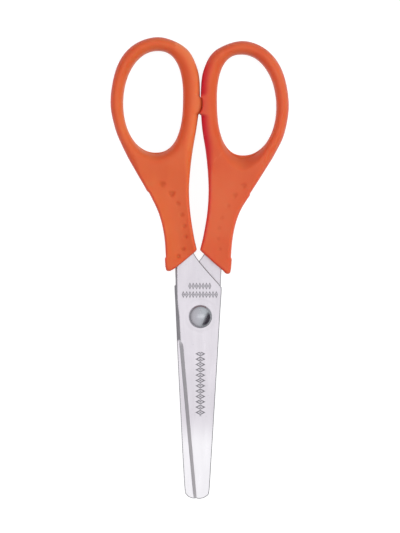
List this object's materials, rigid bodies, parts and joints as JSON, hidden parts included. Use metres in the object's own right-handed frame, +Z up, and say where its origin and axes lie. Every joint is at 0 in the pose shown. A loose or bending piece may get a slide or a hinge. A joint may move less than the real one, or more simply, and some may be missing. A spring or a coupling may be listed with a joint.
{
  "type": "school scissors",
  "caption": "Round-tip school scissors: straight riveted steel blades with moulded plastic handles and oval finger loops, opening on the rivet.",
  "frame": {"origin": "centre of the bounding box, on the plane the handles rest on, with the scissors closed and lying flat", "axes": "+Y from the tips to the finger loops, +Z up through the rivet's domed head, +X to the right seen from above with the loops away"},
  "size_m": [0.0502, 0.13, 0.008],
  "materials": {
    "handle_plastic": "orange moulded plastic, satin with soft highlights",
    "blade_steel": "bright stainless steel with a fine lengthwise grain",
    "rivet_steel": "polished steel dome"
  },
  "bodies": {
    "rear_half": {"rear_blade": "blade_steel", "right_handle": "handle_plastic", "rivet": "rivet_steel"},
    "front_half": {"front_blade": "blade_steel", "left_handle": "handle_plastic"}
  },
  "joints": [
    {"name": "pivot", "type": "hinge", "parent": "rear_half", "child": "front_half", "pos_m": [0.0002, -0.0137, 0.004], "axis": [0, 0, 1], "range_deg": [0, 119]}
  ]
}
